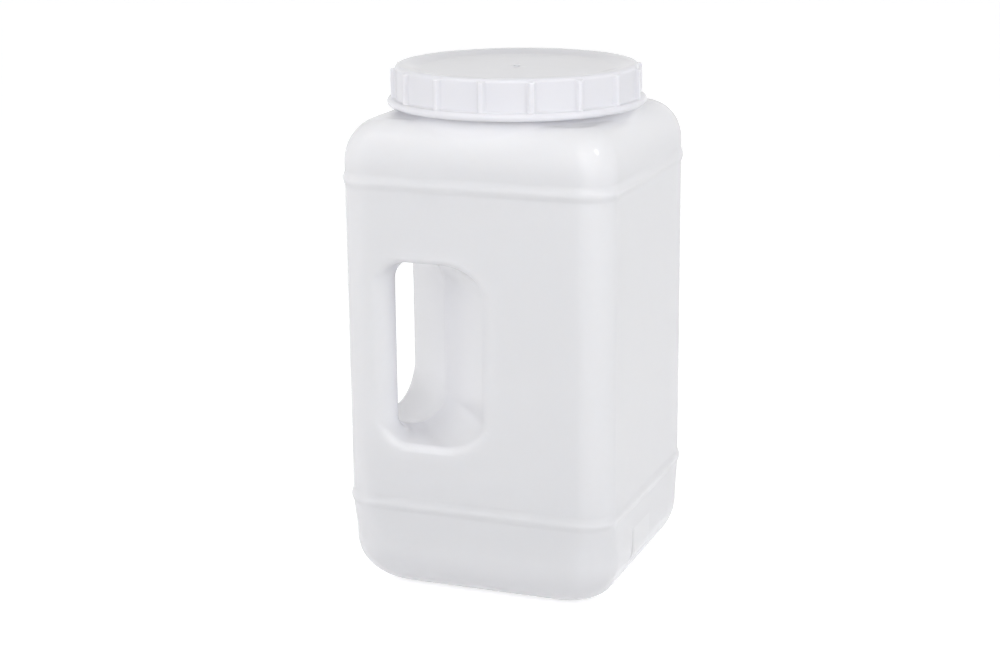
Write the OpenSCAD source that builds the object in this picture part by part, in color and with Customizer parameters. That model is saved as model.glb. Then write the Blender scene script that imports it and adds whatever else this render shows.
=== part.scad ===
// Wide-mouth jar with a grip through its corner and a screw lid.
// Millimetres, +Z up. The origin is the centre of the base, on the ground.
// The front face looks along -Y and the grip column is the front left corner (-X, -Y).

/* [Body] */
// Width of the body between its flat side walls
body_width = 139.5; // [126:0.5:180]
// Depth of the body between its flat front and back walls
body_depth = 133.5; // [124:0.5:170]
// Height of the shoulder's flat top above the ground
body_height = 239.5; // [225:0.5:300]
// Radius of the four upright corners
corner_radius = 15; // [11:0.5:22]
// Thickness of the blown wall
wall = 1.3; // [0.9:0.1:2]

/* [Base] */
// How far the rounded bottom edge runs in from the wall
base_edge_in = 23.4; // [16:0.2:28]
// How far the rounded bottom edge runs up the wall
base_edge_up = 25.5; // [16:0.5:34]
// Radius of the upright corners where the bottom edge starts to round
base_corner_radius = 19.5; // [15:0.5:26]
// Width of the flat ring that the jar stands on
foot_width = 8; // [5:0.5:12]
// Height of the push-up inside the standing ring
push_up = 2.4; // [1:0.2:5]

/* [Shoulder] */
// How far the rounded shoulder edge runs in from the wall
shoulder_in = 16; // [12:0.5:20]
// How far the rounded shoulder edge runs down the wall
shoulder_drop = 21; // [14:0.5:24]
// Rise of the shoulder's top from its edge towards the neck
shoulder_rise = 1; // [0:0.1:1.4]

/* [Beads] */
// How far the two moulded beads stand out of the wall
bead_height = 1; // [0.5:0.1:1.6]
// Width of a bead, up the wall
bead_width = 8.6; // [2.5:0.1:9]
// Height of the lower bead above the ground
lower_bead_z = 47.8; // [42:0.2:60]
// Distance of the upper bead below the shoulder's flat top
upper_bead_below = 29.1; // [26:0.1:45]

/* [Grip opening] */
// Height of the opening's lower edge on the outer faces
opening_bottom = 79.5; // [66:0.5:100]
// Height of the opening's upper edge on the outer faces
opening_top = 171.5; // [150:0.5:185]
// Flat width of the grip column on each face, from the sharp corner of the walls
column_flat = 17; // [15:0.5:22]
// Radius that rounds the column into the opening
column_edge_radius = 9; // [6:0.5:10]
// Reach of the opening along the front face, from the sharp corner of the walls
front_reach = 78; // [70:1:90]
// Reach of the opening along the left face, from the sharp corner of the walls
side_reach = 91; // [72:1:94]
// Distance of the body-side wall's ridge from each face, on the mould's parting plane
ridge_in = 40.2; // [36:0.2:46]
// Radius that rounds the body-side wall into the outer faces
reach_radius = 12; // [6:0.5:16]
// Radius of the opening's corners at the column, seen through it
column_corner_radius = 10; // [6:0.5:12]
// Radius of the opening's corners at its body side
body_corner_radius = 16; // [8:0.5:18]
// Draft of the opening's floor and roof, from a face to the parting plane
opening_draft = 2.5; // [0.5:0.1:5]
// Flare of the floor and roof where they meet the outer faces
opening_flare = 2.2; // [0.6:0.1:4]

/* [Neck] */
// Outer diameter of the neck's plain wall
neck_diameter = 113; // [106:0.5:115]
// Thickness of the neck's wall
neck_wall = 2; // [1.4:0.1:3]
// Height of the neck above the shoulder's flat top
neck_height = 19; // [17:0.5:26]

/* [Thread] */
// Pitch of the single-start thread
thread_pitch = 6; // [5.4:0.1:7]
// Radial height of the thread's ridge
thread_depth = 1.7; // [1:0.1:2]
// Width of the ridge at its root
thread_root = 2.8; // [2:0.1:3]
// Width of the ridge at its crest
thread_crest = 1.2; // [0.8:0.1:1.6]
// Turns of thread on the neck
neck_turns = 1.25; // [0.8:0.05:1.4]
// Turns of thread in the lid
lid_turns = 1; // [0.6:0.05:1.1]
// Height of the neck thread's first turn below the rim of the neck
thread_below_rim = 12.2; // [11:0.2:13.4]
// Radial gap between the thread's crest and the wall that it runs on
thread_clearance = 0.5; // [0.3:0.05:0.8]

/* [Lid] */
// Thickness of the lid's skirt
lid_wall = 1.9; // [1.4:0.1:2.6]
// Thickness of the lid's top
lid_top = 2; // [1.4:0.1:3]
// Gap between the shoulder's flat top and the lid's lower edge
lid_gap = 2.6; // [1.8:0.1:4]
// Radius of the lid's outer top edge
lid_edge_radius = 2.2; // [1:0.1:3]
// Diameter of the dished top at the rim
dish_diameter = 115; // [108:0.5:116]
// Diameter of the dish's flat floor
dish_floor = 92; // [60:1:98]
// Depth of the dished top
dish_depth = 2; // [1:0.1:2.4]
// Diameter of the gate mark at the lid's centre
gate_diameter = 3.2; // [1.6:0.2:5]
// Height of the gate mark
gate_height = 0.8; // [0.4:0.1:1]
// Number of grip ribs on the skirt
rib_count = 16; // [8:1:32]
// How far each rib stands out of the skirt
rib_height = 2.3; // [1.4:0.1:2.6]
// Width of a rib
rib_width = 3.2; // [2:0.1:5]
// Chamfer at the upper end of a rib
rib_chamfer = 0.8; // [0.2:0.1:0.9]
// Direction of the first rib, from straight ahead towards the right
rib_turn = 4.5; // [0:0.5:22]
// How far the ribs stop below the lid's top
rib_below_top = 1.7; // [1:0.1:4]
// How far the lower flange stands out of the skirt
flange_out = 4.1; // [2.4:0.1:5]
// Height of the lower flange
flange_height = 3.8; // [2.6:0.1:5]

/* [Sealing ring] */
// Thickness of the sealing ring between neck and lid
seal_thickness = 1.6; // [1:0.1:2.4]
// Radial gap on both sides of the ring, to the groove in the lid that it lies in
seal_clearance = 0.4; // [0.2:0.1:1]
// Radial gap between the lid's centre plate and the mouth
plate_clearance = 1; // [0.6:0.1:2]

/* [Code panel] */
// Width of the plain code panel on the right face, along the face
panel_width = 29; // [15:1:40]
// Height of the panel
panel_height = 17; // [8:1:20]
// Height of the panel's lower edge above the ground
panel_bottom = 17; // [12:1:24]
// How far the panel's middle lies ahead of the body's middle
panel_ahead = 11.5; // [0:0.5:24]
// How far the panel stands out of the wall
panel_out = 0.5; // [0.3:0.1:0.8]

/* [Hidden] */

// Facets of a quarter turn on the blown shell, and of the rounded edges up it.
corner_steps = 8;
edge_steps = 8;
bead_steps = 8;
// Share of a section's inset that its corner radius gives up.
corner_loss = 0.3;
// Run of the push-up's slope, and of the shoulder's rise, in plan.
push_up_run = 8;
rise_run = 12;
// Overlap that lets two joined solids share material.
bite = 1;
// Points around each corner of the grip opening's sections, and sections in each half of it.
opening_steps = 6;
section_count = 6;
// Turn of the column's rounding at the first section, and where it reaches the diagonal flank.
column_start = 18;
flank_angle = 135;
// Steps of the body-side curve at the first and the last section of a half.
body_start = 0.3;
body_end = 1.75;
// Share of a half that the flare fades over, and of the draft that its last section has.
flare_share = 0.6;
draft_share = 0.8;
// Facets of the thread around one turn.
thread_steps = 60;
// Steps over which the thread's ends fade out.
fade_steps = 4;
// Facets that a full turn is drawn with, on the large circles, the lid's edges and small details.
round_fn = 120;
edge_fn = 48;
small_fn = 32;
// Smallest radius of the shell's upright corners.
least_corner = 3;

half_w = body_width / 2;
half_d = body_depth / 2;
neck_r = neck_diameter / 2;
mouth_r = neck_r - neck_wall;
neck_top = body_height + neck_height;
lid_under = neck_top + seal_thickness;
lid_rim = lid_under + lid_top;
lid_low = body_height + lid_gap;
lid_bore_r = neck_r + thread_depth + thread_clearance;
skirt_r = lid_bore_r + lid_wall;
dish_r = dish_diameter / 2;
plate_r = mouth_r - plate_clearance;
shoulder_z = body_height - shoulder_drop;
// Height of the shoulder's inner surface beside the neck's bore, where the walls are nearest.
neck_foot = shoulder_height(min(half_w, half_d) - wall - mouth_r, wall);

// Points of a rounded rectangle with half sizes hx, hy and corner radius r, at height z.
function ring(hx, hy, r, z) = [
    for (q = [0:3], i = [0:corner_steps])
        let (a = 90 * q + 90 * i / corner_steps,
             sx = (q == 0 || q == 3) ? 1 : -1,
             sy = (q < 2) ? 1 : -1)
        [sx * (hx - r) + r * cos(a), sy * (hy - r) + r * sin(a), z]
];

// A ring of the shell: inset from the wall, with the corner radius before the inset, t inside it.
function shell_ring(inset, r, z, t) =
    ring(half_w - t - inset, half_d - t - inset, max(r - t - corner_loss * inset, least_corner), z);

// Height of the shoulder's surface, t inside the outer one, at an inset from the wall.
function shoulder_height(inset, t) =
    let (run = shoulder_in - t, k = min(max(inset, 0) / run, 1))
    shoulder_z + (shoulder_drop - t) * sqrt(1 - (1 - k) * (1 - k));

function base_rings(t) = concat(
    [shell_ring(base_edge_in + foot_width + push_up_run - t, base_corner_radius, push_up + t, t),
     shell_ring(base_edge_in + foot_width - t, base_corner_radius, t, t)],
    [for (i = [0:edge_steps])
        let (a = 90 - 90 * i / edge_steps)
        shell_ring((base_edge_in - t) * (1 - cos(a)), base_corner_radius,
                   base_edge_up - (base_edge_up - t) * sin(a), t)]
);

// A bead swells gently out of the wall and back into it.
function bead_rings(z) = [
    for (i = [0:bead_steps])
        let (s = 2 * i / bead_steps - 1)
        shell_ring(-bead_height * (1 + cos(180 * s)) / 2, corner_radius, z + bead_width / 2 * s, 0)
];

function shoulder_rings(t) = concat(
    [for (i = [0:edge_steps])
        let (a = 90 * i / edge_steps)
        shell_ring((shoulder_in - t) * (1 - cos(a)), corner_radius,
                   shoulder_z + (shoulder_drop - t) * sin(a), t)],
    [shell_ring(shoulder_in + rise_run - t, corner_radius, body_height + shoulder_rise - t, t)]
);

// The shell's rings from the middle of the base up to the middle of the shoulder.
function shell_rings(t) = concat(
    base_rings(t),
    t == 0 ? bead_rings(lower_bead_z) : [shell_ring(0, corner_radius, lower_bead_z, t)],
    t == 0 ? bead_rings(body_height - upper_bead_below) : [],
    shoulder_rings(t)
);

// A closed solid through rings of equal length, each ring anticlockwise seen from the far end.
module loft(rings) {
    n = len(rings[0]);
    last = len(rings) - 1;
    polyhedron(
        points = [for (r = rings) for (p = r) p],
        faces = concat(
            [[for (i = [0:n - 1]) i]],
            [[for (i = [n - 1:-1:0]) last * n + i]],
            [for (k = [0:last - 1], i = [0:n - 1])
                [k * n + i, (k + 1) * n + i, (k + 1) * n + (i + 1) % n]],
            [for (k = [0:last - 1], i = [0:n - 1])
                [k * n + i, (k + 1) * n + (i + 1) % n, k * n + (i + 1) % n]]
        )
    );
}

// The opening's plan curves are worked out from the sharp front left corner of the walls:
// the first number runs along a face, the second into the body. The far half swaps them.
// Angle of the body-side wall to the face, for an opening that reaches this far along it.
function wall_angle(reach) = atan2(ridge_in, reach - ridge_in);

// A point on the column's rounding; a turns from the face to the diagonal flank.
function column_point(a, t) =
    [column_flat + (column_edge_radius - t) * sin(a),
     column_edge_radius - (column_edge_radius - t) * cos(a)];

// A point on the body side: k below 1 is the rounding at the face, k from 1 to 2 is the wall.
function body_point(k, reach, t) =
    let (w = wall_angle(reach),
         centre = reach + reach_radius * tan(w / 2),
         a = w * min(k, 1),
         r = reach_radius - t,
         edge = [centre - r * sin(a), reach_radius - r * cos(a)],
         ridge = [ridge_in + t * sqrt(0.5), ridge_in + t * sqrt(0.5)],
         s = max(k - 1, 0))
    edge * (1 - s) + ridge * s;

// The column's flank is square to the diagonal; this is its middle, on the parting plane.
function flank_mid(t) =
    let (p = column_point(flank_angle, t), m = (p[0] + p[1]) / 2)
    [m, m];

// One upright section of the opening between two plan points, as a rounded rectangle.
function opening_section(a, b, low, high, t) =
    let (span = norm(b - a), u = (b - a) / span)
    [for (q = [3:-1:0], i = [opening_steps:-1:0])
        let (g = 90 * q + 90 * i / opening_steps,
             at_body = q == 0 || q == 3,
             r = (at_body ? body_corner_radius : column_corner_radius) + t,
             along = (at_body ? span - r : r) + r * cos(g),
             up = ((q < 2) ? high - r : low + r) + r * sin(g),
             p = a + u * along)
        [p[0], p[1], up]];

// Sections from a face almost to the parting plane; s runs from 0 to 1 over them.
function opening_half(reach, t) = [
    for (i = [0:section_count - 1])
        let (s = i / (section_count - 1),
             flare = opening_flare * pow(max(0, 1 - s / flare_share), 2),
             draft = opening_draft * draft_share * s * s)
        opening_section(column_point(column_start + (flank_angle - column_start) * s, t),
            body_point(body_start + (body_end - body_start) * s, reach, t),
            opening_bottom - t - flare + draft, opening_top + t + flare - draft, t)
];

// The outermost section pushed straight out of the face, so that the cut runs clear of it.
function pushed_out(section, by) = [for (p = section) [p[0], p[1] - by, p[2]]];

function opening_middle(t) = opening_section(flank_mid(t), body_point(2, front_reach, t),
    opening_bottom - t + opening_draft, opening_top + t - opening_draft, t);

// From the corner's plan coordinates to the jar's frame: the front half, and the swapped one.
function to_front(section) = [for (p = section) [p[0] - half_w, p[1] - half_d, p[2]]];
function to_side(section) = [for (p = section) [p[1] - half_w, p[0] - half_d, p[2]]];

function opening_rings(t) =
    let (near = opening_half(front_reach, t), far = opening_half(side_reach, t))
    concat(
        [to_front(pushed_out(near[0], 3 * bite + wall))],
        [for (s = near) to_front(s)],
        [to_front(opening_middle(t))],
        [for (i = [len(far) - 1:-1:0]) to_side(far[i])],
        [to_side(pushed_out(far[0], 3 * bite + wall))]
    );

// A helical ridge on the radius r that stands out by depth, or inwards where depth is negative.
module thread_ridge(r, depth, turns, z) {
    steps = round(thread_steps * turns);
    root = r - sign(depth) * bite / 2;
    tip = r + depth;
    rings = [for (i = [0:steps])
        let (a = 360 * i / thread_steps,
             h = z + thread_pitch * i / thread_steps,
             fade = min(1, (1 + min(i, steps - i)) / fade_steps),
             top = r + (tip - r) * fade,
             c = thread_crest / 2,
             w = thread_root / 2,
             prof = depth > 0
                 ? [[root, -w], [top, -c], [top, c], [root, w]]
                 : [[top, -c], [root, -w], [root, w], [top, c]])
        [for (p = prof) [p[0] * cos(a), p[0] * sin(a), h + p[1]]]];
    mirror_order = [for (s = rings) [for (i = [3:-1:0]) s[i]]];
    loft(mirror_order);
}

// A thin pad that follows the wall and its rounded foot on the right face.
module code_panel() {
    intersection() {
        loft(concat(base_rings(-panel_out), [shell_ring(0, corner_radius, lower_bead_z, -panel_out)]));
        translate([half_w - base_edge_in / 2, -panel_ahead - panel_width / 2, panel_bottom])
            cube([base_edge_in, panel_width, panel_height]);
    }
}

module neck() {
    translate([0, 0, neck_foot - bite])
        cylinder(h = neck_top - neck_foot + bite, r = neck_r, $fn = round_fn);
    thread_ridge(neck_r, thread_depth, neck_turns, neck_top - thread_below_rim);
}

module mouth() {
    translate([0, 0, neck_foot - bite / 2])
        cylinder(h = neck_top - neck_foot + 1.5 * bite, r = mouth_r, $fn = round_fn);
}

module jar_body() {
    color([0.89, 0.89, 0.91])
    difference() {
        union() {
            loft(shell_rings(0));
            neck();
            code_panel();
        }
        loft(opening_rings(0));
        difference() {
            loft(shell_rings(wall));
            loft(opening_rings(wall));
        }
        mouth();
    }
}

// Half of the lid's outer outline, from its centre over the rim and down to the flange.
module lid_profile() {
    height = lid_rim - lid_low;
    difference() {
        union() {
            square([skirt_r - lid_edge_radius, height]);
            square([skirt_r, height - lid_edge_radius]);
            translate([skirt_r - lid_edge_radius, height - lid_edge_radius])
                circle(r = lid_edge_radius, $fn = edge_fn);
            square([skirt_r + flange_out - flange_height / 2, flange_height]);
            translate([skirt_r + flange_out - flange_height / 2, flange_height / 2])
                circle(r = flange_height / 2, $fn = edge_fn);
        }
        polygon([[-bite, height - dish_depth], [dish_floor / 2, height - dish_depth],
                 [dish_r, height], [dish_r, height + bite], [-bite, height + bite]]);
    }
}

// Half of the lid's hollow: the bore, and the groove over the neck's rim round the centre plate.
module lid_hollow_profile() {
    square([lid_bore_r, lid_under - dish_depth - lid_low]);
    translate([plate_r, 0])
        square([lid_bore_r - plate_r, lid_under - lid_low]);
    translate([0, -bite])
        square([lid_bore_r, 2 * bite]);
}

module rib() {
    height = lid_rim - rib_below_top - lid_low - flange_height / 2;
    translate([skirt_r + rib_height - rib_width / 2, 0, lid_low + flange_height / 2]) {
        cylinder(h = height - rib_chamfer, d = rib_width, $fn = small_fn);
        translate([0, 0, height - rib_chamfer])
            cylinder(h = rib_chamfer, d1 = rib_width, d2 = rib_width - 2 * rib_chamfer,
                     $fn = small_fn);
    }
}

module screw_lid() {
    color([0.93, 0.93, 0.94]) {
        difference() {
            union() {
                translate([0, 0, lid_low])
                    rotate_extrude($fn = round_fn) lid_profile();
                for (i = [0:rib_count - 1])
                    rotate([0, 0, rib_turn - 90 + 360 * i / rib_count]) rib();
                translate([0, 0, lid_rim - dish_depth - bite])
                    cylinder(h = gate_height + bite, d = gate_diameter, $fn = small_fn);
            }
            translate([0, 0, lid_low])
                rotate_extrude($fn = round_fn) lid_hollow_profile();
        }
        thread_ridge(lid_bore_r, -thread_depth, lid_turns,
                     neck_top - thread_below_rim - thread_pitch / 2);
    }
}

module sealing_ring() {
    color([0.8, 0.81, 0.84])
    translate([0, 0, neck_top])
        difference() {
            cylinder(h = seal_thickness, r = lid_bore_r - seal_clearance, $fn = round_fn);
            translate([0, 0, -bite])
                cylinder(h = seal_thickness + 2 * bite, r = plate_r + seal_clearance, $fn = round_fn);
        }
}

jar_body();
screw_lid();
sealing_ring();
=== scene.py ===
"""A square wide-mouth jar with a corner grip and a ribbed screw lid, dressed over its solid model.

The forms are in millimetres in the frame of the solid model: +Z up, the centre of the base at the
origin, the front face along -Y, and the grip column at the corner -X, -Y. The finishes, the floor
and the lamps are in metres.
"""
import logging
import math
from collections.abc import Callable
from dataclasses import dataclass
from enum import Enum
from typing import Any

import bpy
import numpy as np
from mathutils import Matrix, Vector


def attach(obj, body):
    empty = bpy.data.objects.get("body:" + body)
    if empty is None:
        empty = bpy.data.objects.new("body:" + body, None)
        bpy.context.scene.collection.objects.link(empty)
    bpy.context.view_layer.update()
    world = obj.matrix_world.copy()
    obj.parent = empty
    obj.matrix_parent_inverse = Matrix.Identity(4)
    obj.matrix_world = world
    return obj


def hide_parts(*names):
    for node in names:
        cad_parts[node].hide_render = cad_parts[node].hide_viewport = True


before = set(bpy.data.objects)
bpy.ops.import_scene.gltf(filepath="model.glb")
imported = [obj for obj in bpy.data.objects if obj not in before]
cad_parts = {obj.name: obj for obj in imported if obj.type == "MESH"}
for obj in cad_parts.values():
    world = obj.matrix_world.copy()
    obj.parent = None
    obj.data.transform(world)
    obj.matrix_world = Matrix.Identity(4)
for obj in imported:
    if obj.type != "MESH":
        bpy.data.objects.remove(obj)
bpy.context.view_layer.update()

MM = 0.001
TINY = 1e-9
Array = np.ndarray
Field = Callable[[Array, Array, Array], Array]
Faces = list[tuple[int, ...]]
Pair = tuple[float, float]
Triple = tuple[float, float, float]
Tree, Node, Socket = bpy.types.NodeTree, bpy.types.Node, bpy.types.NodeSocket
Inputs = dict[str | int, Any]
EVEN: Triple = (1.0, 1.0, 1.0)
log = logging.getLogger("jar")


class Body(Enum):
    """Rigid bodies of the solid model that the pieces ride on."""

    JAR = "jar"
    SEAL = "seal"
    LID = "lid"


class Slot(Enum):
    """Material slots of the record."""

    BODY = "natural_polyethylene"
    LID = "white_polyethylene"
    FOAM = "sealing_foam"


def ease(low: float, high: float, value: Array) -> Array:
    """Smooth step from 0 at low to 1 at high."""
    share = np.clip((value - low) / (high - low), 0.0, 1.0)
    return share * share * (3.0 - 2.0 * share)


def round_union(a: Array, b: Array, radius: float) -> Array:
    """Joins two distance fields, which are negative inside, with a hollow fillet."""
    corner = np.hypot(np.maximum(radius - a, 0.0), np.maximum(radius - b, 0.0))
    return np.maximum(radius, np.minimum(a, b)) - corner


def round_intersection(a: Array, b: Array, radius: Array) -> Array:
    """Keeps what two distance fields share, with an edge of the given radius."""
    corner = np.hypot(np.maximum(radius + a, 0.0), np.maximum(radius + b, 0.0))
    return np.minimum(-radius, np.maximum(a, b)) + corner


def polygon_distance(u: Array, v: Array, corners: list[Pair]) -> Array:
    """Signed distance to a convex polygon, negative inside.

    Args:
        u: First coordinates of the points.
        v: Second coordinates of the points.
        corners: The polygon's corners, anticlockwise.

    Returns:
        The distance of each point.
    """
    nearest = np.full(np.broadcast(u, v).shape, np.inf)
    outside = np.full(nearest.shape, -np.inf)
    for (au, av), (bu, bv) in zip(corners, corners[1:] + corners[:1]):
        eu, ev = bu - au, bv - av
        length = math.hypot(eu, ev)
        along = np.clip(((u - au) * eu + (v - av) * ev) / length ** 2, 0.0, 1.0)
        nearest = np.minimum(nearest, np.hypot(u - au - along * eu, v - av - along * ev))
        outside = np.maximum(outside, ((u - au) * ev - (v - av) * eu) / length)
    return np.where(outside > 0.0, nearest, -nearest)


def graded_axis(low: float, high: float, step: float, bands: list[Triple]) -> Array:
    """Grid levels that lie closer together inside the given bands.

    Args:
        low: First level.
        high: Last level.
        step: Spacing outside the bands.
        bands: Start, end and spacing of each finer band.

    Returns:
        The levels in rising order.
    """
    levels = [low]
    while levels[-1] < high:
        here = levels[-1]
        spacing = min([step] + [s for a, b, s in bands if a - s < here < b])
        ahead = [a for a, b, s in bands if here < a < here + spacing]
        levels.append(min(ahead + [here + spacing]))
    levels[-1] = high
    return np.array(levels)


def slope_of(field: Field, points: Array) -> Array:
    """Gradient of a field by central differences.

    Args:
        field: The field.
        points: Points as rows.

    Returns:
        The gradient at each point, as rows.
    """
    step = 0.02
    rows = []
    for offset in np.eye(3) * step:
        ahead, behind = (points + offset).T, (points - offset).T
        rows.append((field(*ahead) - field(*behind)) / (2.0 * step))
    return np.stack(rows, axis=1)


def unit(vectors: Array) -> Array:
    """Vectors of length one along the given rows."""
    return vectors / np.maximum(np.linalg.norm(vectors, axis=1, keepdims=True), TINY)


def settle(field: Field, points: Array, rounds: int) -> Array:
    """Moves points along the gradient onto the field's zero surface.

    Args:
        field: The field.
        points: Points as rows.
        rounds: Number of steps.

    Returns:
        The settled points.
    """
    least_steep, longest_move = 0.05, 0.8
    for _ in range(rounds):
        slope = slope_of(field, points)
        steep = np.maximum((slope * slope).sum(axis=1), least_steep)
        move = slope * (field(*points.T) / steep)[:, None]
        length = np.linalg.norm(move, axis=1, keepdims=True)
        points = points - move * np.minimum(1.0, longest_move / np.maximum(length, TINY))
    return points


def place_object(name: str, data: bpy.types.ID) -> bpy.types.Object:
    """Makes an object and links it to the scene.

    Args:
        name: Name of the object.
        data: Its mesh, lamp or camera.

    Returns:
        The object.
    """
    made = bpy.data.objects.new(name, data)
    bpy.context.scene.collection.objects.link(made)
    return made


@dataclass
class Skin:
    """A surface under construction: points, faces and the normals that are known."""

    points: list[Array]
    faces: Faces
    normals: list[Array]

    @classmethod
    def empty(cls) -> "Skin":
        """A skin with nothing in it."""
        return cls([], [], [])

    def add(self, points: Array, faces: Faces, normals: Array | None = None) -> int:
        """Adds a part to the skin.

        Args:
            points: Its points as rows.
            faces: Its faces, counted from its own first point.
            normals: Its normals, or None where the mesh gives them.

        Returns:
            The number of the part's first point in the skin.
        """
        first = sum(len(part) for part in self.points)
        self.points.append(points)
        self.faces.extend(tuple(int(i) + first for i in face) for face in faces)
        self.normals.append(np.zeros_like(points) if normals is None else normals)
        return first

    def zip_rings(self, low: list[int], high: list[int]) -> None:
        """Closes the strip between two rings of points around the Z axis.

        Args:
            low: Points of the ring that the strip starts from, in any order.
            high: Points of the ring that it ends at, in any order.
        """
        points = np.concatenate(self.points)

        def sorted_ring(ring: list[int]) -> tuple[list[int], list[float]]:
            """The ring's points by angle, and the angles with the first one a turn on at the end."""
            turns = sorted((math.atan2(points[i, 1], points[i, 0]), i) for i in ring)
            return [i for _, i in turns], [angle for angle, _ in turns] + [turns[0][0] + math.tau]

        (a, a_angle), (b, b_angle) = sorted_ring(low), sorted_ring(high)
        i = j = 0
        while i < len(a) or j < len(b):
            here_a, here_b = a[i % len(a)], b[j % len(b)]
            if j >= len(b) or (i < len(a) and a_angle[i + 1] <= b_angle[j + 1]):
                i += 1
                self.faces.append((here_a, a[i % len(a)], here_b))
            else:
                j += 1
                self.faces.append((here_a, b[j % len(b)], here_b))

    def to_object(self, name: str) -> bpy.types.Object:
        """Makes the Blender object, in metres.

        Args:
            name: Name of the object.

        Returns:
            The linked object with a smooth mesh.
        """
        points = np.concatenate(self.points) * MM
        normals = np.concatenate(self.normals)
        mesh = bpy.data.meshes.new(name)
        mesh.from_pydata(points.tolist(), [], self.faces)
        mesh.validate()
        mesh.polygons.foreach_set("use_smooth", np.ones(len(mesh.polygons), dtype=bool))
        mesh.update()
        if np.any(normals):
            mesh.normals_split_custom_set_from_vertices(normals.tolist())
        return place_object(name, mesh)


@dataclass
class SurfaceNet:
    """Quads over the zero surface of a field, on a grid whose levels may be uneven."""

    x: Array
    y: Array
    z: Array

    def build(self, field: Field) -> tuple[Array, Faces, Array]:
        """Finds the surface, open where it leaves the grid.

        Args:
            field: Field that is negative inside.

        Returns:
            The points, the faces with their fronts on the positive side, and the points' cells.
        """
        values = field(self.x[:, None, None], self.y[None, :, None], self.z[None, None, :])
        shape = tuple(size - 1 for size in values.shape)
        total, hits = np.zeros((math.prod(shape), 3)), np.zeros(math.prod(shape))
        rings = [self._collect(values, axis, shape, total, hits) for axis in range(3)]
        used = hits > 0
        number = np.cumsum(used) - 1
        faces = [tuple(quad) for ring in rings for quad in number[ring].tolist()]
        return total[used] / hits[used][:, None], faces, np.argwhere(used.reshape(shape))

    def _collect(self, values: Array, axis: int, shape: tuple[int, ...], total: Array,
                 hits: Array) -> Array:
        """Adds the crossings along one axis to the four cells around each edge.

        Args:
            values: Values of the field on the grid.
            axis: The axis that the edges run along.
            shape: Numbers of cells.
            total: Sums of the crossings by cell, changed here.
            hits: Numbers of the crossings by cell, changed here.

        Returns:
            The cells around each crossed edge that has all four, in the order of a face's corners.
        """
        inside = values < 0.0
        edges = np.argwhere(np.diff(inside, axis=axis))
        ends = edges + np.eye(3, dtype=int)[axis]
        levels = (self.x, self.y, self.z)
        start, stop = (np.stack([levels[k][at[:, k]] for k in range(3)], axis=1) for at in (edges, ends))
        first, second = values[tuple(edges.T)], values[tuple(ends.T)]
        crossings = start + (first / (first - second))[:, None] * (stop - start)
        back = np.zeros((4, 1, 3), dtype=int)
        back[:, 0, (axis + 1) % 3] = (1, 0, 0, 1)
        back[:, 0, (axis + 2) % 3] = (1, 1, 0, 0)
        cells = edges - back
        exists = ((cells >= 0) & (cells < shape)).all(axis=2)
        flat = np.ravel_multi_index(np.moveaxis(np.where(exists[..., None], cells, 0), 2, 0), shape)
        for k in range(3):
            weights = np.broadcast_to(crossings[:, k], exists.shape)[exists]
            total[:, k] += np.bincount(flat[exists], weights, len(total))
        hits += np.bincount(flat[exists], minlength=len(hits))
        whole = exists.all(axis=0)
        ring = flat[:, whole].T
        flip = ~inside[tuple(edges[whole].T)]
        ring[flip] = ring[flip][:, ::-1]
        return ring


def even_out(points: Array, faces: Faces, field: Field, held: Array, rounds: int) -> Array:
    """Evens out the spacing of the points within the surface.

    Args:
        points: Points as rows.
        faces: Quads between them.
        field: Field whose zero surface they lie on.
        held: Points that stay.
        rounds: Number of rounds.

    Returns:
        The evened points, back on the surface.
    """
    pull = 0.5
    quads = np.array(faces)
    ends = np.concatenate([quads[:, [k, (k + 1) % 4]] for k in range(4)])
    ends = np.concatenate([ends, ends[:, ::-1]])
    degree = np.bincount(ends[:, 0], minlength=len(points))
    for _ in range(rounds):
        mean = np.stack([np.bincount(ends[:, 0], weights=points[ends[:, 1], k], minlength=len(points))
                         for k in range(3)], axis=1) / np.maximum(degree, 1)[:, None]
        move = mean - points
        normal = unit(slope_of(field, points))
        move -= normal * (move * normal).sum(axis=1, keepdims=True)
        points = np.where(held[:, None], points, points + pull * move)
        points = np.where(held[:, None], points, settle(field, points, 1))
    return points


@dataclass(frozen=True)
class Thread:
    """A single-start screw ridge on a round wall."""

    lead: float = 6.0
    height: float = 1.7
    root: float = 2.8
    crest: float = 1.2
    turns: float = 1.25
    start: float = 246.3
    fade: float = 0.07

    def ridge(self, angle: Array, z: float) -> Array:
        """Height of the ridge over the wall at one level.

        Args:
            angle: Angles around the axis, in radians.
            z: Height of the level above the ground.

        Returns:
            The ridge's height at each angle.
        """
        best = np.zeros(angle.shape)
        turn = np.mod(angle, math.tau) / math.tau
        for lap in range(math.ceil(self.turns)):
            run = turn + lap
            gap = np.abs(z - self.start - self.lead * run)
            body = 1.0 - ease(self.crest / 2, self.root / 2, gap)
            ends = ease(0.0, self.fade, run) * (1.0 - ease(self.turns - self.fade, self.turns, run))
            best = np.maximum(best, self.height * body * ends)
        return best


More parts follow.
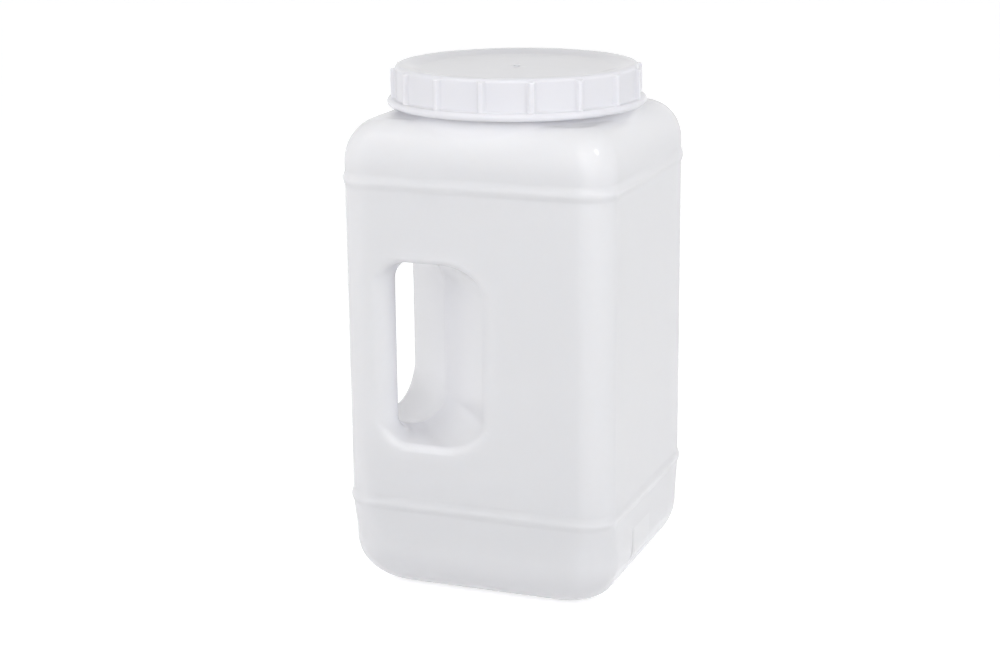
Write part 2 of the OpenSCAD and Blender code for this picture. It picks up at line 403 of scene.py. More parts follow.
@dataclass(frozen=True)
class JarForm:
    """The form of the blown body as fields that are negative inside it."""

    width: float = 139.5
    depth: float = 133.5
    height: float = 239.5
    corner_radius: float = 15.0
    corner_loss: float = 0.3
    wall: float = 1.9
    shoulder_wall: float = 2.5
    base_wall: float = 1.6
    full_wall_up: float = 90.0
    base_edge_in: float = 23.4
    base_edge_up: float = 25.5
    base_corner_radius: float = 19.5
    foot_width: float = 8.0
    push_up: float = 2.4
    push_up_run: float = 8.0
    shoulder_in: float = 16.0
    shoulder_drop: float = 21.0
    shoulder_rise: float = 1.0
    rise_run: float = 12.0
    bead_height: float = 0.85
    bead_width: float = 8.6
    bead_levels: Pair = (47.8, 210.4)
    opening_bottom: float = 79.5
    opening_top: float = 171.5
    opening_draft: float = 2.5
    opening_lip: float = 3.4
    column_flat: float = 17.0
    column_edge_radius: float = 9.0
    column_corner_radius: float = 10.0
    body_corner_radius: float = 16.0
    front_reach: float = 78.0
    side_reach: float = 91.0
    ridge_in: float = 40.2
    reach_radius: float = 12.0
    neck_radius: float = 56.5
    mouth_radius: float = 54.5
    neck_fillet: float = 6.0
    panel_width: float = 29.0
    panel_height: float = 17.0
    panel_bottom: float = 17.0
    panel_ahead: float = 11.5
    panel_out: float = 0.5
    panel_edge: float = 0.7

    def inset(self, x: Array, y: Array, z: Array) -> Array:
        """How far a point lies in from the upright walls, on the section at its height.

        The radius of the section's corners shrinks by the share corner_loss of the inset.

        Args:
            x: Distances to the right.
            y: Distances to the back.
            z: Heights.

        Returns:
            The inset of each point.
        """
        radius = self.base_corner_radius + (self.corner_radius - self.base_corner_radius) * ease(
            self.base_edge_up, self.bead_levels[0], z)
        half_x, half_y = self.width / 2, self.depth / 2
        flat = np.minimum(half_x - np.abs(x), half_y - np.abs(y))
        u = np.abs(x) - (half_x - radius)
        v = np.abs(y) - (half_y - radius)
        gain = 1.0 - self.corner_loss
        square = 2.0 * gain ** 2 - self.corner_loss ** 2
        middle = 2.0 * gain * (u + v) + 2.0 * self.corner_loss * radius
        rest = u * u + v * v - radius * radius
        root = np.sqrt(np.maximum(middle * middle - 4.0 * square * rest, 0.0))
        rounded = (root - middle) / (2.0 * square)
        at_corner = (u + gain * flat > 0.0) & (v + gain * flat > 0.0)
        return np.where(at_corner, rounded, flat)

    def bead(self, z: Array) -> Array:
        """How far the beads stand out of the wall at the given heights."""
        away = [np.clip(np.abs(z - level) / (self.bead_width / 2), 0.0, 1.0) for level in self.bead_levels]
        return sum(self.bead_height * (0.5 + 0.5 * np.cos(math.pi * share)) for share in away)

    def panel(self, x: Array, y: Array, z: Array) -> Array:
        """How far the plain raised panel stands out of the right wall.

        Args:
            x: Distances to the right.
            y: Distances to the back.
            z: Heights.

        Returns:
            The panel's height over the wall.
        """
        across = np.abs(y + self.panel_ahead) - self.panel_width / 2
        up = np.abs(z - self.panel_bottom - self.panel_height / 2) - self.panel_height / 2
        edge = 1.0 - ease(-self.panel_edge, 0.0, np.maximum(across, up))
        return self.panel_out * edge * (x > self.width / 4)

    def walls(self, x: Array, y: Array, z: Array) -> Array:
        """Field of the plain body, without the grip passage and the neck.

        Args:
            x: Distances to the right.
            y: Distances to the back.
            z: Heights.

        Returns:
            The field at each point.
        """
        inset = self.inset(x, y, z)
        rise = self.shoulder_rise * np.clip((inset - self.shoulder_in) / self.rise_run, 0.0, 1.0)
        up = np.maximum(z - self.shoulder_start, 0.0) / (self.shoulder_drop + rise)
        top = np.hypot(np.maximum(self.shoulder_in - inset, 0.0) / self.shoulder_in, up) - 1.0
        foot = self.base_edge_in + self.foot_width
        lift = self.push_up * ease(foot, foot + self.push_up_run, inset)
        down = np.maximum(self.base_edge_up - z, 0.0) / (self.base_edge_up - lift)
        low = np.hypot(np.maximum(self.base_edge_in - inset, 0.0) / self.base_edge_in, down) - 1.0
        plain = np.maximum(top * self.shoulder_in, low * self.base_edge_in)
        return plain - self.bead(z) - self.panel(x, y, z)

    @property
    def shoulder_start(self) -> float:
        """Height at which the shoulder leaves the upright walls."""
        return self.height - self.shoulder_drop

    def column(self, u: Array, v: Array) -> Array:
        """Distance to the grip column in plan, from the sharp corner of the walls."""
        near, far = self.column_edge_radius, self.column_flat
        return polygon_distance(u, v, [(near, near), (far, near), (near, far)]) - near

    def far_side(self, u: Array, v: Array) -> Array:
        """Distance to the passage's body side in plan.

        Args:
            u: Distances to the right of the sharp corner of the walls.
            v: Distances to the back of it.

        Returns:
            The distance of each point.
        """
        r, ridge = self.reach_radius, self.ridge_in

        def shifted(reach: float) -> Pair:
            """Where the wall that starts at this reach, moved in by the radius, meets v = r."""
            run, length = reach - ridge, math.hypot(reach - ridge, ridge)
            return reach + (r * length - r * run) / ridge, r

        front, side = shifted(self.front_reach), shifted(self.side_reach)[::-1]
        lean = r * math.sqrt(0.5) + ridge
        far = 3.0 * self.width
        corners = [front, (far, r), (far, far), (r, far), side, (lean, lean)]
        return polygon_distance(u, v, corners) - r

    def rim(self, side: Array, room: Array, radius: float, walls: Array) -> Array:
        """Field around the passage at one of its sides, with its lip in the outer faces.

        Args:
            side: Distance to this side in plan.
            room: Distance to the passage's floor or roof.
            radius: Radius between them.
            walls: Field of the plain body.

        Returns:
            The field; its lip narrows from the floor and roof to nothing at the side.
        """
        least = 1e-6
        hole = round_union(side, room, radius)
        near_room, near_side = np.maximum(radius - room, 0.0), np.maximum(radius - side, least)
        both = np.hypot(near_room, near_side)
        lip = np.minimum(self.opening_lip * near_room / both, radius * (both / near_side - 1.0))
        return round_intersection(walls, hole, lip)

    def body(self, x: Array, y: Array, z: Array) -> Array:
        """Field of the body with its grip passage.

        Args:
            x: Distances to the right.
            y: Distances to the back.
            z: Heights.

        Returns:
            The field at each point.
        """
        walls = self.walls(x, y, z)
        u, v = x + self.width / 2, y + self.depth / 2
        near, far = np.minimum(u, v), np.maximum(np.maximum(u, v), 1.0)
        draft = self.opening_draft * np.clip(near / far, 0.0, 1.0) ** 2
        room = np.minimum(z - self.opening_bottom - draft, self.opening_top - draft - z)
        at_column = self.rim(self.column(u, v), room, self.column_corner_radius, walls)
        at_body = self.rim(self.far_side(u, v), room, self.body_corner_radius, walls)
        return np.maximum(walls, np.minimum(at_column, at_body))

    def tube(self, x: Array, y: Array, z: Array, radius: float) -> Array:
        """Field of an upright tube that fades out below the shoulder."""
        return np.hypot(x, y) - radius + np.maximum(self.shoulder_start - z, 0.0)

    def outside(self, x: Array, y: Array, z: Array) -> Array:
        """Field of the outer skin, up into the neck."""
        return round_union(self.body(x, y, z), self.tube(x, y, z, self.neck_radius), self.neck_fillet)

    def thickness(self, z: Array) -> Array:
        """Thickness of the wall, which grows from the base to the shoulder.

        Args:
            z: Heights.

        Returns:
            The thickness at each height.
        """
        low = (self.wall - self.base_wall) * ease(self.base_edge_up, self.full_wall_up, z)
        high = ease(self.shoulder_start, self.height - self.shoulder_rise, z)
        return self.base_wall + low + (self.shoulder_wall - self.wall) * high

    def inside(self, x: Array, y: Array, z: Array) -> Array:
        """Field of the hollow, up into the mouth."""
        mouth = self.tube(x, y, z, self.mouth_radius)
        return round_union(self.body(x, y, z) + self.thickness(z), mouth, self.wall)


def feed(tree: Tree, node: Node, inputs: Inputs) -> None:
    """Sets or links the inputs of a node.

    Args:
        tree: Tree that the node is in.
        node: The node.
        inputs: For each input, its value or the socket that is linked to it.
    """
    for key, value in inputs.items():
        if isinstance(value, Socket):
            tree.links.new(value, node.inputs[key])
        else:
            node.inputs[key].default_value = value


def add_node(tree: Tree, kind: str, inputs: Inputs | None = None, operation: str = "") -> Node:
    """Adds a node to a tree.

    Args:
        tree: Tree that the node goes into.
        kind: Kind of the shader node.
        inputs: For each input, its value or the socket that is linked to it.
        operation: What a maths node does.

    Returns:
        The node.
    """
    node = tree.nodes.new("ShaderNode" + kind)
    if operation:
        node.operation = operation
    feed(tree, node, inputs or {})
    return node


def maths(tree: Tree, operation: str, first: Socket, second: Socket | float) -> Socket:
    """Adds a maths node and gives its result."""
    return add_node(tree, "Math", {0: first, 1: second}, operation).outputs["Value"]


def map_range(tree: Tree, factor: Socket, across: Pair, levels: Pair) -> Socket:
    """Adds a node that maps one range evenly onto another, and gives its result."""
    return add_node(tree, "MapRange", {"Value": factor, "From Min": across[0], "From Max": across[1],
                                       "To Min": levels[0], "To Max": levels[1]}).outputs["Result"]


def seen_directly(tree: Tree) -> Socket:
    """Socket that is 1 for camera, glossy and transmission rays.

    Args:
        tree: Tree that the nodes go into.

    Returns:
        The socket.
    """
    path = add_node(tree, "LightPath").outputs
    seen = path["Is Camera Ray"]
    for ray in ("Is Glossy Ray", "Is Transmission Ray"):
        seen = maths(tree, "MAXIMUM", seen, path[ray])
    return seen


@dataclass(frozen=True)
class Grain:
    """Fine unevenness of a moulded surface."""

    scale: float
    strength: float
    distance: float
    detail: float = 2.0


class FinishNodes:
    """Builds the nodes of one finish around its Principled shader."""

    TONE_ENDS: Pair = (0.3, 0.7)
    ROUGHNESS_ENDS: Pair = (0.25, 0.75)

    def __init__(self, name: str) -> None:
        """Makes an empty material with a shader.

        Args:
            name: Name of the material.
        """
        self.material = bpy.data.materials.new(name)
        self.material.use_nodes = True
        self.tree = self.material.node_tree
        self.shader = self.tree.nodes["Principled BSDF"]
        self.place = add_node(self.tree, "TexCoord")

    def noise(self, scale: float, detail: float, stretch: Triple = EVEN) -> Socket:
        """Adds a noise in the piece's own frame.

        Args:
            scale: Features per metre.
            detail: Octaves of detail.
            stretch: Scale along each axis.

        Returns:
            The socket with the noise.
        """
        mapping = add_node(self.tree, "Mapping", {"Vector": self.place.outputs["Object"], "Scale": stretch})
        return add_node(self.tree, "TexNoise", {"Vector": mapping.outputs["Vector"], "Scale": scale,
                                                "Detail": detail}).outputs["Fac"]

    def tint(self, factor: Socket, tones: tuple[Triple, Triple]) -> None:
        """Drives the base colour between two tones.

        Args:
            factor: Socket that mixes them.
            tones: The tones at the two TONE_ENDS of the factor.
        """
        ramp = add_node(self.tree, "ValToRGB", {"Fac": factor})
        for i, tone in enumerate(tones):
            stop = ramp.color_ramp.elements[i]
            stop.position, stop.color = self.TONE_ENDS[i], (*tone, 1.0)
        feed(self.tree, self.shader, {"Base Color": ramp.outputs["Color"]})

    def paint_light_or_shade(self, factor: Socket, across: Pair, shares: Pair) -> None:
        """Paints light or shade into the linked tone, making it lighter or darker over a range.

        Args:
            factor: Socket that says where.
            across: The factor's values at the two ends.
            shares: What the tone is multiplied by at the two ends.
        """
        tone = self.shader.inputs["Base Color"].links[0].from_socket
        share = map_range(self.tree, factor, across, shares)
        scaled = add_node(self.tree, "VectorMath", {0: tone, "Scale": share}, "SCALE")
        feed(self.tree, self.shader, {"Base Color": scaled.outputs["Vector"]})

    def roughness(self, factor: Socket, ends: Pair) -> None:
        """Drives the roughness between two values, at the two ROUGHNESS_ENDS of the factor."""
        rough = map_range(self.tree, factor, self.ROUGHNESS_ENDS, ends)
        feed(self.tree, self.shader, {"Roughness": rough})

    def bump(self, grain: Grain) -> None:
        """Adds fine relief.

        Args:
            grain: The relief.
        """
        node = add_node(self.tree, "Bump", {"Strength": grain.strength, "Distance": grain.distance,
                                            "Height": self.noise(grain.scale, grain.detail)})
        feed(self.tree, self.shader, {"Normal": node.outputs["Normal"]})


@dataclass(frozen=True)
class PlatePaintedShade:
    """Painted shade that makes the thin plate of a lid look greyer than its rim, as light is lost into its
    dark hollow side.
    """

    inner: float = 0.044
    outer: float = 0.059
    share: float = 0.92

    def apply(self, nodes: FinishNodes) -> None:
        """Paints shade into the finish's tone inside the rim.

        Args:
            nodes: Nodes of the finish, with their tone already linked.
        """
        place = nodes.place.outputs["Object"]
        flat = add_node(nodes.tree, "VectorMath", {0: place, 1: (1.0, 1.0, 0.0)}, "MULTIPLY")
        reach = add_node(nodes.tree, "VectorMath", {0: flat.outputs["Vector"]}, "LENGTH")
        # Painted shade: the base colour is darkened inside the rim's radius.
        nodes.paint_light_or_shade(reach.outputs["Value"], (self.inner, self.outer), (self.share, 1.0))


@dataclass(frozen=True)
class PanelPaintedLight:
    """Painted light that makes a pressed panel look lighter than the wall around it, standing in for the
    light that its thicker plastic scatters back.
    """

    centre: Triple = (0.0700, -0.0115, 0.0255)
    half: Triple = (0.0200, 0.0142, 0.0082)
    edge: float = 0.94
    share: float = 1.055

    def apply(self, nodes: FinishNodes) -> None:
        """Paints light into the finish's tone inside the panel.

        Args:
            nodes: Nodes of the finish, with their tone already linked.
        """
        last = nodes.place.outputs["Object"]
        for operation, value in (("SUBTRACT", self.centre), ("ABSOLUTE", EVEN), ("DIVIDE", self.half)):
            last = add_node(nodes.tree, "VectorMath", {0: last, 1: value}, operation).outputs["Vector"]
        sides = add_node(nodes.tree, "SeparateXYZ", {"Vector": last}).outputs
        reach = sides["X"]
        for side in ("Y", "Z"):
            reach = maths(nodes.tree, "MAXIMUM", reach, sides[side])
        # Painted light: the base colour is lightened inside the panel.
        nodes.paint_light_or_shade(reach, (self.edge, 1.0), (self.share, 1.0))


@dataclass(frozen=True)
class MilkyPolyethylene:
    """Natural or whitened polyethylene: cloudy depth under a satin skin."""

    name: str
    tones: tuple[Triple, Triple]
    rough: Pair
    depth: float
    grain: Grain
    cloud_scale: float
    cloud_detail: float = 3.0
    wear_finer: float = 9.0
    wear_detail: float = 4.0
    streak: Triple = (1.0, 1.0, 0.25)
    scatter: float = 1.0
    scatter_reach: Triple = (1.0, 0.97, 0.94)
    ior: float = 1.51
    shine: float = 0.05
    coat: float = 0.8
    satin: float = 0.16
    # Painted light or shade laid into the tone: painted light on a panel, or painted shade on a plate.
    painted_light_or_shade: PlatePaintedShade | PanelPaintedLight | None = None

    def material(self) -> bpy.types.Material:
        """Builds the finish.

        Returns:
            The material.
        """
        nodes = FinishNodes(self.name)
        nodes.tint(nodes.noise(self.cloud_scale, self.cloud_detail, self.streak), self.tones)
        if self.painted_light_or_shade:
            self.painted_light_or_shade.apply(nodes)
        wear = nodes.noise(self.cloud_scale * self.wear_finer, self.wear_detail, self.streak)
        nodes.roughness(wear, self.rough)
        nodes.bump(self.grain)
        feed(nodes.tree, nodes.shader, {
            "Subsurface Weight": self.scatter, "Subsurface Radius": self.scatter_reach,
            "Subsurface Scale": self.depth, "IOR": self.ior, "Specular IOR Level": self.shine,
            "Coat Weight": self.coat, "Coat Roughness": self.satin})
        return nodes.material


@dataclass(frozen=True)
class ClosedFoam:
    """White closed-cell foam of the sealing ring."""

    name: str = "sealing_foam"
    tones: tuple[Triple, Triple] = ((0.72, 0.73, 0.75), (0.80, 0.81, 0.82))
    rough: Pair = (0.6, 0.85)
    cells: Grain = Grain(2600.0, 0.4, 0.0003)

    def material(self) -> bpy.types.Material:
        """Builds the finish.

        Returns:
            The material.
        """
        nodes = FinishNodes(self.name)
        factor = nodes.noise(self.cells.scale, self.cells.detail)
        nodes.tint(factor, self.tones)
        nodes.roughness(factor, self.rough)
        nodes.bump(self.cells)
        return nodes.material


def turned_row(angle: Array, reach: Array | float, z: float) -> Array:
    """Points of one row of a turned form."""
    return np.stack([reach * np.cos(angle), reach * np.sin(angle), np.full_like(angle, z)], axis=1)


def band(low: int, high: int, columns: int) -> Faces:
    """Quads between two rows of a turned form, given by their numbers."""
    return [(low * columns + i, low * columns + (i + 1) % columns,
             high * columns + (i + 1) % columns, high * columns + i) for i in range(columns)]


def arc(centre: Pair, radius: float, start: float, end: float, steps: int) -> list[Pair]:
    """Points of an arc in a profile, between two angles in degrees from the outward direction."""
    turn = [math.radians(a) for a in np.linspace(start, end, steps + 1)]
    return [(centre[0] + radius * math.cos(a), centre[1] + radius * math.sin(a)) for a in turn]


@dataclass
class JarBody:
    """The blow-moulded body: outer skin, hollow and threaded neck in one closed shell."""

    form: JarForm
    thread: Thread
    finish: MilkyPolyethylene
    neck_top: float = 258.5
    net_top: float = 243.6
    lip_radius: float = 0.6
    lip_steps: int = 4
    bore_rows: int = 6
    neck_columns: int = 288
    neck_row: float = 0.6
    outer_grid: Pair = (1.7, 3.4)
    inner_grid: Pair = (2.9, 6.0)
    net_margin: float = 2.2
    grip_margin: float = 8.0
    opening_margins: Pair = (5.0, 20.0)
    shoulder_margin: float = 2.0
    shoulder_finer: float = 0.7
    bead_margin: float = 1.0
    bead_finer: float = 3.0
    first_rounds: int = 4
    later_rounds: int = 3

    def build(self) -> bpy.types.Object:
        """Builds, dresses and registers the body.

        Returns:
            The body's object.
        """
        form, skin = self.form, Skin.empty()
        outer_ring = self._net(skin, form.outside, self._grid(*self.outer_grid), form.neck_radius, True)
        inner_ring = self._net(skin, form.inside, self._grid(*self.inner_grid), form.mouth_radius, False)
        first_row, last_row = self._neck(skin)
        skin.zip_rings(outer_ring, first_row)
        skin.zip_rings(last_row, inner_ring)
        piece = skin.to_object("blown_body")
        piece.data.materials.append(self.finish.material())
        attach(piece, Body.JAR.value)
        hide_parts("jar_body")
        return piece

    def _grid(self, fine: float, coarse: float) -> SurfaceNet:
        """Grid levels, close together round the grip, the beads and the rounded edges.

        Args:
            fine: Spacing on rounded stretches.
            coarse: Spacing on flat stretches.

        Returns:
            The grid for the surface net.
        """
        form, out, (near, far) = self.form, self.net_margin, self.opening_margins
        x, y = (graded_axis(-half - out, half + out, coarse,
                            [(-half - out, reach - half + self.grip_margin, fine),
                             (half - form.base_corner_radius, half + out, fine)])
                for half, reach in ((form.width / 2, form.front_reach), (form.depth / 2, form.side_reach)))
        margin = form.bead_width / 2 + self.bead_margin
        beads = [(level - margin, level + margin, fine / self.bead_finer) for level in form.bead_levels]
        z = graded_axis(-out, self.net_top, coarse,
                        [(-out, form.base_edge_up, fine),
                         (form.opening_bottom - near, form.opening_bottom + far, fine),
                         (form.opening_top - far, form.opening_top + near, fine),
                         (form.shoulder_start - self.shoulder_margin, self.net_top,
                          fine * self.shoulder_finer)] + beads)
        return SurfaceNet(x, y, z)

    def _net(self, skin: Skin, field: Field, grid: SurfaceNet, radius: float, front_out: bool) -> list[int]:
        """Adds one face of the wall to the skin, open at the neck.

        Args:
            skin: Skin that the surface goes into.
            field: Field of the surface.
            grid: Grid that it is found on.
            radius: Radius of the neck's wall where the surface ends.
            front_out: Whether the plastic lies on the negative side.

        Returns:
            The points of the open ring at the neck.
        """
        points, faces, cells = grid.build(field)
        at_top = cells[:, 2] == len(grid.z) - 2
        points = settle(field, points, self.first_rounds)
        points = even_out(points, faces, field, at_top, self.later_rounds)
        points = settle(field, points, self.later_rounds)
        ring = points[at_top, :2]
        points[at_top, :2] = ring / np.linalg.norm(ring, axis=1, keepdims=True) * radius
        points[at_top, 2] = self.net_top
        normals = unit(slope_of(field, points))
        if not front_out:
            faces = [face[::-1] for face in faces]
            normals = -normals
        first = skin.add(points, faces, normals)
        return [first + int(i) for i in np.flatnonzero(at_top)]

    def _neck(self, skin: Skin) -> tuple[list[int], list[int]]:
        """Adds the neck: its threaded wall, rounded rim and bore.

        Args:
            skin: Skin that the neck goes into.

        Returns:
            The points of its first row outside and of its last row inside.
        """
        outer, inner = self.form.neck_radius, self.form.mouth_radius
        low, lip, count = self.net_top + self.neck_row, self.lip_radius, self.neck_columns
        edge = self.neck_top - lip
        rise = np.arange(low, edge, self.neck_row)
        rows = [(outer, z) for z in rise]
        rows += arc((outer - lip, edge), lip, 0.0, 90.0, self.lip_steps)
        rows += arc((inner + lip, edge), lip, 90.0, 180.0, self.lip_steps)
        rows += [(inner, z) for z in np.linspace(edge - lip, low, self.bore_rows)]
        angle = np.arange(count) * math.tau / count
        points, faces = [], []
        for number, (radius, z) in enumerate(rows):
            ridge = self.thread.ridge(angle, z) if number < len(rise) else 0.0
            points.append(turned_row(angle, radius + ridge, z))
            if number:
                faces += band(number - 1, number, count)
        first = skin.add(np.concatenate(points), faces)
        last = first + (len(rows) - 1) * count
        return list(range(first, first + count)), list(range(last, last + count))


@dataclass
class ScrewLid:
    """The injection-moulded lid: dished top, ribbed skirt, flange and inner thread.

    The gate's profile gives shares of its radius and height. The rib columns are arc distances from
    the middle of a rib, and the other rings and rows only say where the profiles have points.
    """

    thread: Thread
    finish: MilkyPolyethylene
    low: float = 242.1
    rim: float = 262.1
    under: float = 260.1
    skirt_radius: float = 60.6
    skirt_margins: Pair = (0.5, 1.4)
    skirt_rows: int = 16
    bore_radius: float = 58.7
    bore_lip: float = 0.5
    bore_low: float = 0.9
    bore_rows: int = 30
    chamfer: float = 0.4
    edge_radius: float = 2.2
    edge_steps: int = 18
    dish_radius: float = 57.5
    dish_floor: float = 46.0
    dish_depth: float = 2.0
    dish_rows: int = 12
    plate_radius: float = 53.5
    floor_rings: tuple[float, ...] = (6.0, 14.0, 24.0, 34.0, 42.0)
    under_rings: tuple[float, ...] = (40.0, 26.0, 12.0, 4.0, 0.0)
    gate_radius: float = 1.6
    gate_height: float = 0.8
    gate_profile: tuple[Pair, ...] = ((0.0, 1.0), (0.6, 1.0), (0.88, 0.86), (1.0, 0.45), (1.12, 0.075),
                                      (1.4, 0.0))
    rib_count: int = 16
    rib_height: float = 2.3
    rib_half: float = 1.45
    rib_turn: float = 4.5
    rib_below_top: float = 1.6
    rib_round: float = 0.6
    rib_flank: int = 6
    rib_columns: tuple[float, ...] = (0.0, 0.4, 0.75, 1.05, 1.3, 1.55, 1.8, 2.15, 2.6, 3.3, 4.6, 6.3,
                                      8.1, 10.0)
    flange_out: float = 4.1
    flange_height: float = 3.8
    flange_steps: int = 14
    flange_fillet: float = 0.9
    fillet_steps: int = 4
    lip_steps: int = 3

    def build(self) -> bpy.types.Object:
        """Builds, dresses and registers the lid.

        Returns:
            The lid's object.
        """
        outer, inner = self._outer_profile(), self._inner_profile()
        rows = outer + inner
        angle, offset = self._columns()
        points, faces = [np.array([[0.0, 0.0, rows[0][1]]])], []
        for number, (radius, z) in enumerate(rows[1:-1], 1):
            reach = np.full_like(angle, radius)
            if number < len(outer):
                reach = reach + self._rib(radius, z, offset)
            elif math.isclose(radius, self.bore_radius):
                reach = reach - self.thread.ridge(angle, z)
            points.append(turned_row(angle, reach, z))
        count = len(angle)
        points.append(np.array([[0.0, 0.0, rows[-1][1]]]))
        last = 1 + (len(rows) - 2) * count
        for i in range(count):
            faces.append((0, 1 + i, 1 + (i + 1) % count))
            faces.append((last, last - count + (i + 1) % count, last - count + i))
        for number in range(len(rows) - 3):
            faces += [tuple(1 + p for p in quad[::-1]) for quad in band(number, number + 1, count)]
        skin = Skin.empty()
        skin.add(np.concatenate(points), faces)
        piece = skin.to_object("ribbed_lid")
        piece.data.materials.append(self.finish.material())
        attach(piece, Body.LID.value)
        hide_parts("screw_lid")
        return piece

    def _outer_profile(self) -> list[Pair]:
        """Profile from the gate mark over the rim and down round the flange.

        Returns:
            Radius and height of each row.
        """
        floor, edge = self.rim - self.dish_depth, self.edge_radius
        rows = [(self.gate_radius * r, floor + self.gate_height * h) for r, h in self.gate_profile]
        rows += [(r, floor) for r in self.floor_rings]
        run = self.dish_radius - self.dish_floor
        rows += [(self.dish_floor + run * s, floor + self.dish_depth * float(ease(0.0, 1.0, s)))
                 for s in np.linspace(0.0, 1.0, self.dish_rows)]
        rows += arc((self.skirt_radius - edge, self.rim - edge), edge, 90.0, 0.0, self.edge_steps)
        top, (above, below) = self.low + self.flange_height, self.skirt_margins
        rows += [(self.skirt_radius, z)
                 for z in np.linspace(self.rim - edge - above, top + below, self.skirt_rows)]
        fillet, nose = self.flange_fillet, self.flange_height / 2
        rows += arc((self.skirt_radius + fillet, top + fillet), fillet, 180.0, 270.0, self.fillet_steps)
        tip = self.skirt_radius + self.flange_out - nose
        return rows + arc((tip, self.low + nose), nose, 90.0, -90.0, self.flange_steps)

    def _inner_profile(self) -> list[Pair]:
        """Profile from the lid's lower edge up the threaded bore and in to the centre.

        Returns:
            Radius and height of each row.
        """
        lip, cut, roof = self.bore_lip, self.chamfer, self.under - self.dish_depth
        rows = arc((self.bore_radius + lip, self.low + lip), lip, 270.0, 180.0, self.lip_steps)
        rows += [(self.bore_radius, z)
                 for z in np.linspace(self.low + self.bore_low, self.under - cut, self.bore_rows)]
        rows += [(self.bore_radius - cut, self.under), (self.plate_radius + cut, self.under),
                 (self.plate_radius, self.under - cut), (self.plate_radius, roof + cut),
                 (self.plate_radius - cut, roof)]
        return rows + [(r, roof) for r in self.under_rings]

    def _columns(self) -> tuple[Array, Array]:
        """Columns of points, closer together at the ribs.

        Returns:
            The columns' angles and their arc distances from the nearest rib.
        """
        pitch = math.tau / self.rib_count
        between = pitch * self.skirt_radius / 2
        offsets = sorted({between, *self.rib_columns, *(-d for d in self.rib_columns)})
        first = math.radians(self.rib_turn - 90.0)
        angle = [first + pitch * i + d / self.skirt_radius for i in range(self.rib_count) for d in offsets]
        return np.array(angle), np.array(offsets * self.rib_count)

    def _rib(self, radius: float, z: float, offset: Array) -> Array:
        """How far the ribs stand out of the skirt on one row.

        Args:
            radius: Radius of the plain row.
            z: Height of the row.
            offset: Arc distance of each column from its rib.

        Returns:
            The ribs' height at each column.
        """
        top = self.rim - self.rib_below_top
        over = min(max((z - top + self.rib_round) / self.rib_round, 0.0), 1.0)
        reach = self.skirt_radius + self.rib_height - self.rib_round * (1.0 - math.sqrt(1.0 - over ** 2))
        if z > top or radius < self.plate_radius:
            return np.zeros_like(offset)
        return max(0.0, reach - radius) / (1.0 + np.abs(offset / self.rib_half) ** self.rib_flank)


@dataclass
class SealingRing:
    """The flat foam ring between the neck's rim and the lid."""

    finish: ClosedFoam
    low: float = 258.5
    thickness: float = 1.6
    inner: float = 53.9
    outer: float = 58.3
    edge: float = 0.35
    edge_steps: int = 3
    columns: int = 240

    def build(self) -> bpy.types.Object:
        """Builds, dresses and registers the ring.

        Returns:
            The ring's object.
        """
        edge, angle = self.edge, np.arange(self.columns) * math.tau / self.columns
        near, far = self.inner + edge, self.outer - edge
        low, top = self.low + edge, self.low + self.thickness - edge
        rows = []
        for i, centre in enumerate(((far, low), (far, top), (near, top), (near, low))):
            rows += arc(centre, edge, 90.0 * i - 90.0, 90.0 * i, self.edge_steps)
        faces = []
        for number in range(len(rows)):
            faces += band(number, (number + 1) % len(rows), self.columns)
        skin = Skin.empty()
        skin.add(np.concatenate([turned_row(angle, radius, z) for radius, z in rows]), faces)
        piece = skin.to_object("foam_ring")
        piece.data.materials.append(self.finish.material())
        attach(piece, Body.SEAL.value)
        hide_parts("sealing_ring")
        return piece


@dataclass(frozen=True)
class Viewpoint:
    """The photograph's camera."""

    azimuth: float = 21.152
    elevation: float = 14.864
    roll: float = -0.572
    place: Triple = (363.023, -964.275, 396.037)
    lens: float = 74.73
    sensor: float = 36.0
    shift: Pair = (-0.0005, 0.0005)
    clip: Pair = (0.01, 50.0)

    def build(self) -> bpy.types.Object:
        """Places the camera and makes it the scene's.

        Returns:
            The camera's object.
        """
        data = bpy.data.cameras.new("camera")
        data.lens, data.sensor_width = self.lens, self.sensor
        data.shift_x, data.shift_y = self.shift
        data.clip_start, data.clip_end = self.clip
        camera = place_object("camera", data)
        pose = Matrix.Translation(Vector(self.place) * MM)
        for degrees, axis in ((self.azimuth, "Z"), (90.0 - self.elevation, "X"), (self.roll, "Z")):
            pose = pose @ Matrix.Rotation(math.radians(degrees), 4, axis)
        camera.matrix_world = pose
        bpy.context.scene.camera = camera
        return camera


@dataclass(frozen=True)
class Softbox:
    """One soft lamp that looks at the jar."""

    name: str
    place: Triple
    size: Pair
    power: float
    color: Triple

    def build(self, aim: Vector) -> bpy.types.Object:
        """Makes the lamp.

        Args:
            aim: Point that it looks at, in metres.

        Returns:
            The lamp's object.
        """
        data = bpy.data.lights.new(self.name, "AREA")
        data.shape = "RECTANGLE"
        data.size, data.size_y = self.size
        data.energy = self.power
        data.color = self.color
        lamp = place_object(self.name, data)
        lamp.location = self.place
        lamp.rotation_euler = (aim - Vector(self.place)).to_track_quat("-Z", "Y").to_euler()
        return lamp


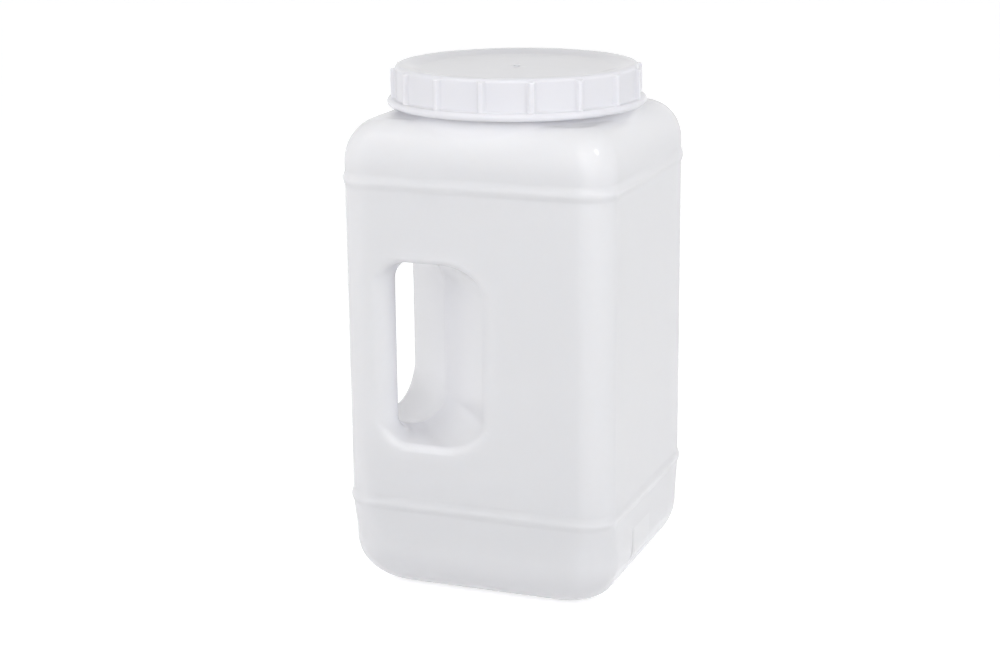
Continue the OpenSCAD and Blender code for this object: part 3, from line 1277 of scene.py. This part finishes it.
@dataclass(frozen=True)
class Studio:
    """Pale floor, soft surroundings and the lamps."""

    horizon: float = 2.42
    zenith: float = 0.06
    fall: float = 0.75
    behind: float = 0.86
    front_azimuth: float = 42.0
    air_color: Triple = (0.982, 0.98, 1.0)
    floor_color: Triple = (0.70, 0.70, 0.705)
    floor_roughness: float = 0.9
    floor_shine: float = 0.1
    floor_lift: float = 0.65
    floor_half: float = 12.0
    aim: Triple = (0.0, 0.0, 0.13)
    lamps: tuple[Softbox, ...] = (
        Softbox("left_softbox", (-0.62, -0.52, 1.10), (0.20, 0.20), 0.75, (1.0, 0.97, 0.93)),
        Softbox("right_softbox", (0.74, -0.24, 1.12), (0.20, 0.20), 1.7, (0.97, 0.98, 1.0)),
        Softbox("front_softbox", (0.15, -0.72, 0.70), (0.60, 0.60), 2.0, (1.0, 0.99, 0.99)),
    )

    def build(self) -> None:
        """Sets up the surroundings, the floor and the lamps."""
        bpy.context.scene.view_settings.view_transform = "Standard"
        self._surroundings()
        self._floor()
        for lamp in self.lamps:
            lamp.build(Vector(self.aim))

    def _surroundings(self) -> None:
        """White to the eye and in reflections, plain soft light from all round otherwise."""
        world = bpy.data.worlds.new("studio")
        bpy.context.scene.world = world
        world.use_nodes = True
        tree = world.node_tree
        soft = tree.nodes["Background"]
        turn = add_node(tree, "Mapping", {"Vector": add_node(tree, "TexCoord").outputs["Generated"],
                                          "Rotation": (0.0, 0.0, -math.radians(self.front_azimuth))})
        split = add_node(tree, "SeparateXYZ", {"Vector": turn.outputs["Vector"]}).outputs
        level = map_range(tree, split["Z"], (0.0, self.fall), (self.horizon, self.zenith))
        depth = map_range(tree, split["Y"], (-1.0, 1.0), (1.0, self.behind))
        feed(tree, soft, {"Color": (*self.air_color, 1.0),
                          "Strength": maths(tree, "MULTIPLY", level, depth)})
        white = add_node(tree, "Background", {"Color": (1.0, 1.0, 1.0, 1.0)})
        mix = add_node(tree, "MixShader", {"Fac": seen_directly(tree), 1: soft.outputs["Background"],
                                           2: white.outputs["Background"]})
        feed(tree, tree.nodes["World Output"], {"Surface": mix.outputs["Shader"]})

    def _floor(self) -> None:
        """A pale floor that keeps the jar's soft shadow."""
        half = self.floor_half
        mesh = bpy.data.meshes.new("studio_floor")
        mesh.from_pydata([(-half, -half, 0), (half, -half, 0), (half, half, 0), (-half, half, 0)], [],
                         [(0, 1, 2, 3)])
        floor = place_object("studio_floor", mesh)
        material = bpy.data.materials.new("studio_floor")
        material.use_nodes = True
        tree = material.node_tree
        feed(tree, tree.nodes["Principled BSDF"], {
            "Base Color": (*self.floor_color, 1.0), "Roughness": self.floor_roughness,
            "Specular IOR Level": self.floor_shine, "Emission Color": (1.0, 1.0, 1.0, 1.0),
            "Emission Strength": maths(tree, "MULTIPLY", seen_directly(tree), self.floor_lift)})
        mesh.materials.append(material)


def main() -> None:
    """Builds the view, the studio and the jar's pieces, and reports each."""
    logging.basicConfig(level=logging.INFO, format="%(name)s: %(message)s")
    Viewpoint().build()
    Studio().build()
    # The natural finish carries painted light on its panel.
    natural = MilkyPolyethylene(
        "natural_polyethylene", ((0.892, 0.891, 0.930), (0.902, 0.901, 0.940)), rough=(0.30, 0.38),
        depth=0.0055, grain=Grain(700.0, 0.05, 0.0002), cloud_scale=14.0, painted_light_or_shade=PanelPaintedLight())
    # The white finish carries painted shade on the lid's plate.
    white = MilkyPolyethylene(
        "white_polyethylene", ((0.78, 0.782, 0.808), (0.79, 0.792, 0.818)), rough=(0.28, 0.34),
        depth=0.001, grain=Grain(1100.0, 0.02, 0.0002), cloud_scale=22.0, streak=EVEN, coat=0.6,
        satin=0.09, painted_light_or_shade=PlatePaintedShade())
    neck_thread = Thread()
    lid_thread = Thread(turns=1.0, start=243.3)
    pieces = [JarBody(JarForm(), neck_thread, natural).build(),
              ScrewLid(lid_thread, white).build(),
              SealingRing(ClosedFoam()).build()]
    for piece in pieces:
        log.info("%s: %d faces", piece.name, len(piece.data.polygons))


if __name__ == "__main__":
    main()
